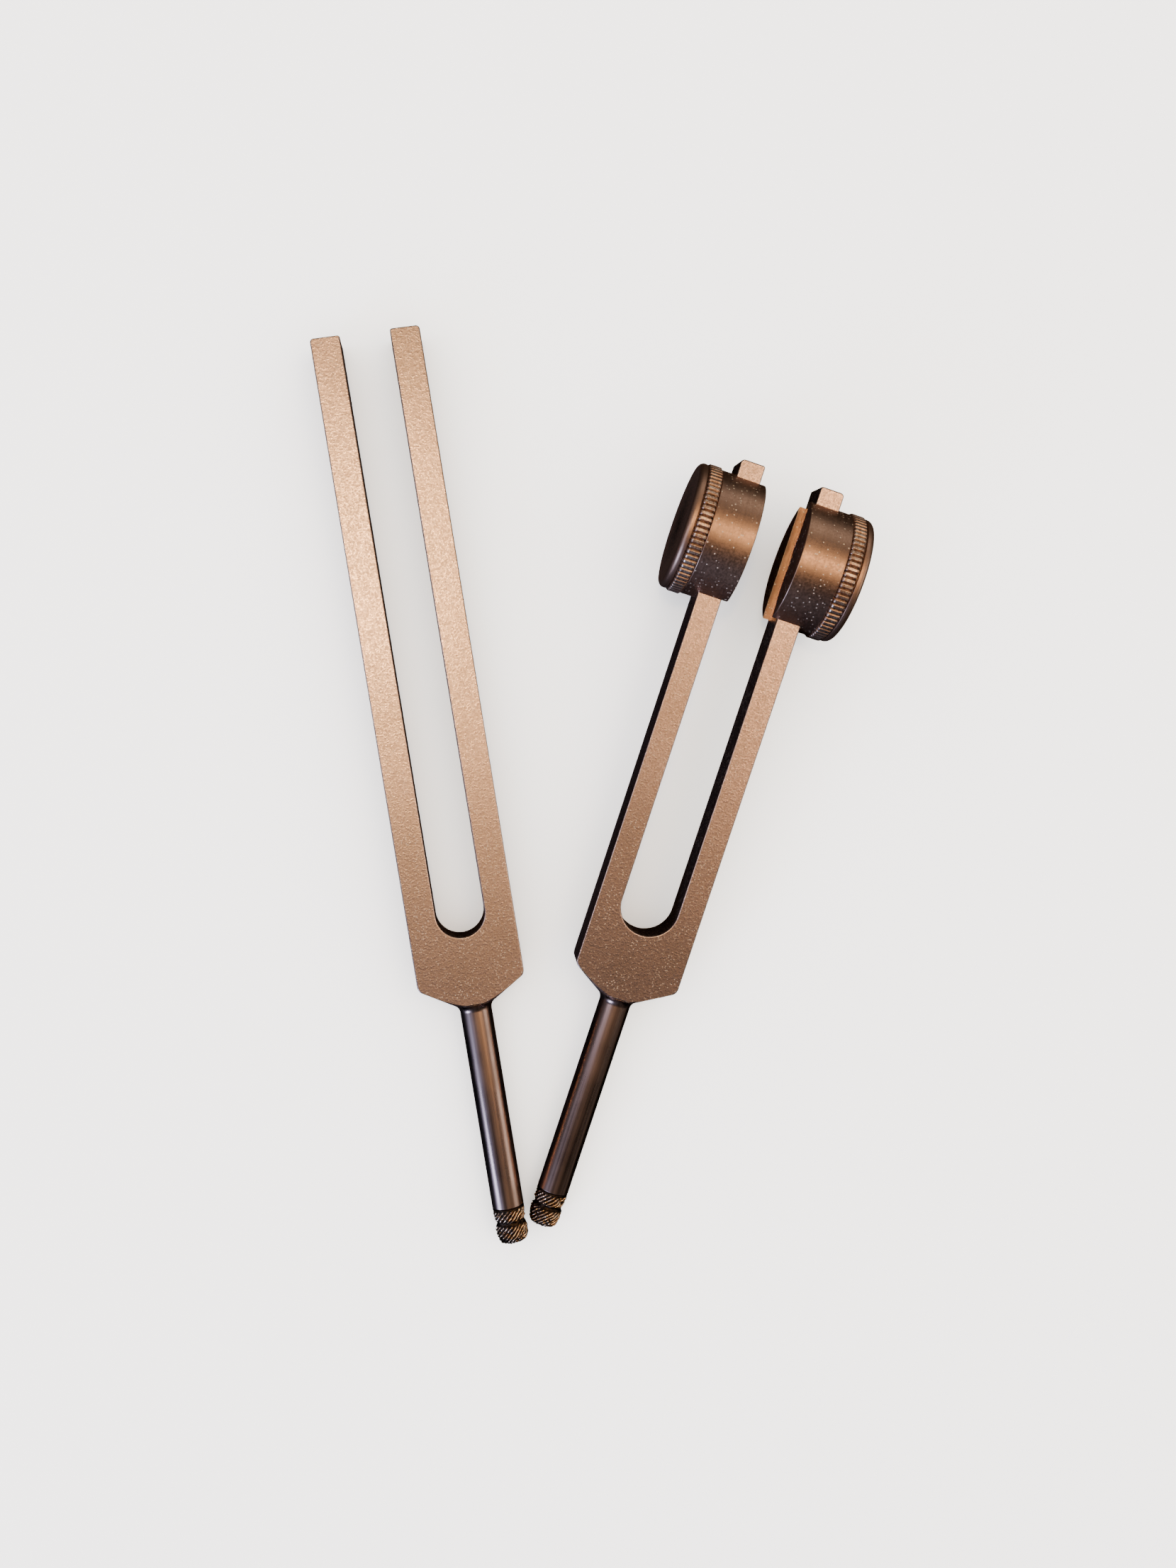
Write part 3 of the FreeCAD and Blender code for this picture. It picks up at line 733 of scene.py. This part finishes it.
def make_weight(side, weights, sizes):
    """Smooth round weight with a channel, open inwards, that straddles its tine."""
    place = weight_place(side)
    rim_round, channel_round, clear = 0.25 * MM, 0.12 * MM, 2 * MM
    profile = softened([
        (weights.screw_radius + weights.gap, weights.lip_start),
        (weights.radius, weights.lip_start, rim_round),
        (weights.radius, weights.body_end, rim_round),
        (weights.boss_radius, weights.body_end),
        (weights.boss_radius, weights.body_end + weights.boss_height),
        (weights.screw_radius + weights.gap, weights.body_end + weights.boss_height),
    ], steps=4)
    body = turned_piece(f"{side}_weight_body", place, profile, columns=192, ring=True)
    channel_half = sizes.thickness / 2 + weights.gap
    long_way = weights.radius + clear
    channel = flat_piece(f"{side}_channel_cutter", weight_place(side, level=False), [
        (-long_way, weights.lip_start - clear),
        (long_way, weights.lip_start - clear),
        (long_way, sizes.width / 2 + weights.gap),
        (-long_way, sizes.width / 2 + weights.gap),
    ], -channel_half, channel_half)
    carve(body, channel, "DIFFERENCE")
    soften_edges(body, channel_round, sharp_angle=40.0)
    smooth_shading(body)
    finish = finish_named("satin_aluminium_finish")
    dress(body, finish, "satin_aluminium", f"{side}_weight_body", f"{side}_weight")


COLUMNS_PER_KNURL = 12
# How worn and lit the cap's finish, which reads it, paints each part: the groove low, for grime and painted
# shade; its plain faces; and a knurl's crest high, for wear and painted highlight.
GROOVE_WORN_AND_LIT, FACE_WORN_AND_LIT, CREST_WORN_AND_LIT = 0.12, 0.55, 0.9


def band_rows(start, end, count):
    """Evenly spaced places along a band, without its two ends."""
    return [start + (end - start) * row / count for row in range(1, count)]


def make_cap(side, weights):
    """Knurled cap with a smooth rounded rim."""
    place = weight_place(side)
    start = weights.body_end + weights.gap
    band_end = start + weights.cap_band
    rim_start = band_end + weights.cap_groove
    end = rim_start + weights.rim_width
    screw_end = start + weights.screw_reach + weights.gap
    bore = weights.screw_radius + weights.gap
    recess = weights.boss_radius + weights.gap
    chamfer, step, groove_round = 0.3 * MM, 0.05 * MM, 0.12 * MM
    groove_radius = weights.cap_radius - weights.cap_groove_depth
    profile = [
        (0.0, screw_end),
        (bore, screw_end),
        (bore, start + weights.boss_height),
        (recess, start + weights.boss_height),
        (recess, start),
        (weights.cap_radius - chamfer - weights.knurl_depth, start),
        (weights.cap_radius - chamfer, start + step),
        (weights.cap_radius, start + chamfer),
    ]
    profile += [(weights.cap_radius, row) for row in band_rows(start + chamfer, band_end - chamfer, 8)]
    profile += softened([
        (weights.cap_radius, band_end - chamfer),
        (weights.cap_radius - chamfer, band_end),
        (groove_radius, band_end),
        (groove_radius, rim_start),
        (weights.rim_radius, rim_start, groove_round),
        (weights.rim_radius, end, weights.rim_round),
        (0.0, end),
    ], steps=8)

    def relief(angle, radius, along):
        if not (start <= along <= band_end + TINY and radius > groove_radius + TINY):
            in_groove = radius < groove_radius + TINY and along < rim_start + TINY
            # The groove's low share paints grime and painted shade there.
            return 0.0, (GROOVE_WORN_AND_LIT if in_groove else FACE_WORN_AND_LIT)
        worn = noise.noise(Vector((math.sin(angle) * 4, along / MM, math.cos(angle) * 4)))
        wave = 0.5 + 0.5 * math.cos(weights.knurl_count * angle)
        # A cut takes the lowest 0.42 of each wave; the rest is a knurl's flat crest.
        cut = max(0.0, 1 - wave / 0.42)
        height = -weights.knurl_depth * cut ** 0.8
        return height, min(1.0, max(0.0, CREST_WORN_AND_LIT - CREST_WORN_AND_LIT * cut + 0.22 * worn))

    columns = weights.knurl_count * COLUMNS_PER_KNURL
    cap = turned_piece(f"{side}_cap", place, profile, columns, relief)
    smooth_shading(cap)
    finish = finish_named("cap_finish")
    dress(cap, finish, "knurled_aluminium", f"{side}_cap_body", f"{side}_knurled_cap")


# ---------------------------------------------------------------- operators


class ForkOperator:
    """What the operators share."""

    bl_options = {"REGISTER", "UNDO"}


class FORKS_OT_add_blanks(ForkOperator, bpy.types.Operator):
    """Add the blasted blanks of both forks"""

    bl_idname = "forks.add_blanks"
    bl_label = "Fork Blanks"

    def execute(self, context):
        for kind in FORKS:
            make_blank(kind, context.scene.fork_sizes, context.scene.weight_sizes)
        return {"FINISHED"}


class FORKS_OT_add_stems(ForkOperator, bpy.types.Operator):
    """Add the turned handle stems"""

    bl_idname = "forks.add_stems"
    bl_label = "Handle Stems"

    def execute(self, context):
        for kind in FORKS:
            make_stem(kind, context.scene.fork_sizes)
        return {"FINISHED"}


class FORKS_OT_add_tips(ForkOperator, bpy.types.Operator):
    """Add the knurled stem tips"""

    bl_idname = "forks.add_tips"
    bl_label = "Knurled Tips"

    def execute(self, context):
        for seed, kind in enumerate(FORKS, start=3):
            make_tip(kind, context.scene.fork_sizes, seed)
        return {"FINISHED"}


class FORKS_OT_add_weights(ForkOperator, bpy.types.Operator):
    """Add the round weights, their knurled caps and the finish of the clamp screws"""

    bl_idname = "forks.add_weights"
    bl_label = "Weights and Caps"

    def execute(self, context):
        for side in ("left", "right"):
            make_weight(side, context.scene.weight_sizes, context.scene.fork_sizes)
            make_cap(side, context.scene.weight_sizes)
            screw = frame["nodes"][f"{side}_clamp_screw"]
            screw.data.materials.clear()
            screw.data.materials.append(finish_named("screw_steel_finish"))
        return {"FINISHED"}


def picture_axes(stage):
    """Right, up and back of the camera."""
    back = (Vector(stage.camera_place) - Vector(stage.camera_aim)).normalized()
    heading = Vector((-math.sin(stage.camera_heading), math.cos(stage.camera_heading), 0.0))
    up = (heading - heading.dot(back) * back).normalized()
    return up.cross(back), up, back


def add_camera(stage):
    """The camera at the chosen place and heading."""
    right, up, back = picture_axes(stage)
    data = bpy.data.cameras.new("camera")
    data.sensor_width = 36.0
    data.lens = stage.lens
    data.clip_start = 0.01
    camera = bpy.data.objects.new("camera", data)
    bpy.context.scene.collection.objects.link(camera)
    turn = Matrix((right, up, back)).transposed().to_4x4()
    camera.matrix_world = Matrix.Translation(Vector(stage.camera_place)) @ turn
    bpy.context.scene.camera = camera


def add_light(name, place, target, size, power, tint):
    """A rectangular soft light at place, facing target."""
    data = bpy.data.lights.new(name, "AREA")
    data.shape = "RECTANGLE"
    data.size, data.size_y = size
    data.energy = power
    data.color = tint
    light = bpy.data.objects.new(name, data)
    bpy.context.scene.collection.objects.link(light)
    light.location = place
    light.rotation_mode = "QUATERNION"
    light.rotation_quaternion = (Vector(target) - Vector(place)).to_track_quat("-Z", "Y")


WARM = (1.0, 0.93, 0.86)
# Each light's name, place and target in metres, size, power in watts, and tint.
LIGHTS = (
    ("ceiling", (0.0, 0.38, 1.2), (0.0, 0.38, 0.0), (2.0, 1.4), 1.35, (0.82, 0.86, 0.97)),
    ("overhead", (0.31, 0.18, 0.80), (0.04, 0.05, 0.0), (0.30, 0.30), 1.9, (1.0, 0.65, 0.34)),
    ("lamp", (-0.121, 0.115, 0.81), (-0.03, 0.03, 0.0), (0.05, 0.05), 1.9, (1.0, 0.70, 0.34)),
    ("window", (-0.60, -1.0, 0.42), (0.02, 0.0, 0.0), (0.36, 0.3), 11.0, (0.42, 0.56, 1.0)),
    ("strip", (-0.56, -0.15, 0.68), (0.03, -0.05, 0.0), (0.07, 0.5), 1.4, (0.72, 0.74, 1.0)),
    ("side", (1.0, 0.2, 0.5), (0.0, 0.0, 0.0), (0.7, 0.4), 1.8, WARM),
    ("behind", (0.1, 1.2, 0.5), (0.0, 0.0, 0.0), (1.2, 0.5), 1.2, WARM),
)


def add_floor(stage):
    """A large plain floor, which the metals don't mirror."""
    bm = bmesh.new()
    bmesh.ops.create_grid(bm, x_segments=1, y_segments=1, size=6.0)
    floor = finished_object(bm, "floor", Matrix.Identity(4))
    made = Finish("floor_finish", metallic=0.0)
    mottle = made.noise(scale=30.0, detail=3.0)
    dimming = 0.985
    dimmer = [channel * dimming for channel in stage.floor]
    made.join(made.shader, {
        "Base Color": made.blend(mottle, rgba(stage.floor), rgba(dimmer)),
        "Roughness": 0.9,
    })
    floor.data.materials.append(made.material)
    floor.visible_glossy = False


def add_surroundings(stage):
    """Even pale light from all round; mirrored in metal it is only a low glow above the horizon."""
    world = bpy.data.worlds.new("surroundings")
    world.use_nodes = True
    made = Nodes(world.node_tree)
    place = made.add("ShaderNodeTexCoord")
    direction = made.add("ShaderNodeSeparateXYZ", {"Vector": place.outputs["Generated"]})
    height, away = direction.outputs["Z"], direction.outputs["Y"]
    # The glow starts at the horizon, is weaker overhead, and almost goes out on the side of the stems.
    overhead_share, stem_side_share = 0.2, 0.12
    above = made.between(height, 0.0, 0.06)
    low = made.between(height, 0.2, 0.7, 1.0, overhead_share)
    behind = made.between(away, -0.4, 0.3, stem_side_share, 1.0)
    glow = made.combine("MULTIPLY", made.combine("MULTIPLY", above, low), behind)
    mirrored = made.combine("MULTIPLY", glow, stage.glow)
    path = made.add("ShaderNodeLightPath")
    shown = made.between(path.outputs["Is Glossy Ray"], 0.0, 1.0, stage.daylight, mirrored)
    made.join(world.node_tree.nodes["Background"], {"Color": (1.0, 0.97, 0.94, 1.0), "Strength": shown})
    world.cycles.sampling_method = "NONE"
    bpy.context.scene.world = world


class FORKS_OT_add_stage(ForkOperator, bpy.types.Operator):
    """Add the floor, the lights and the camera"""

    bl_idname = "forks.add_stage"
    bl_label = "Stage"

    def execute(self, context):
        stage = context.scene.fork_stage
        add_floor(stage)
        add_surroundings(stage)
        add_camera(stage)
        for light in LIGHTS:
            add_light(*light)
        return {"FINISHED"}


class FORKS_PT_panel(bpy.types.Panel):
    """Lists the pieces of the tuning forks"""

    bl_label = "Tuning Forks"
    bl_space_type = "VIEW_3D"
    bl_region_type = "UI"
    bl_category = "Forks"

    def draw(self, context):
        for operator in OPERATORS:
            self.layout.operator(operator.bl_idname)
        for group in ("fork_sizes", "weight_sizes", "fork_finishes", "fork_stage"):
            box = self.layout.box()
            settings = getattr(context.scene, group)
            for name in settings.__annotations__:
                box.prop(settings, name)


OPERATORS = (
    FORKS_OT_add_blanks,
    FORKS_OT_add_stems,
    FORKS_OT_add_tips,
    FORKS_OT_add_weights,
    FORKS_OT_add_stage,
)
GROUPS = {
    "fork_sizes": ForkSizes,
    "weight_sizes": WeightSizes,
    "fork_finishes": Finishes,
    "fork_stage": StageSettings,
}


def register():
    """Registers the classes and the settings."""
    for made in (*GROUPS.values(), *OPERATORS, FORKS_PT_panel):
        bpy.utils.register_class(made)
    for name, group in GROUPS.items():
        setattr(bpy.types.Scene, name, PointerProperty(type=group))


def unregister():
    """Removes the settings and the classes."""
    for name in GROUPS:
        delattr(bpy.types.Scene, name)
    for made in reversed((*GROUPS.values(), *OPERATORS, FORKS_PT_panel)):
        bpy.utils.unregister_class(made)


def main():
    """Makes every piece and the stage."""
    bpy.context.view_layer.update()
    register()
    bpy.ops.forks.add_blanks()
    bpy.ops.forks.add_stems()
    bpy.ops.forks.add_tips()
    bpy.ops.forks.add_weights()
    bpy.ops.forks.add_stage()


if __name__ == "__main__":
    main()
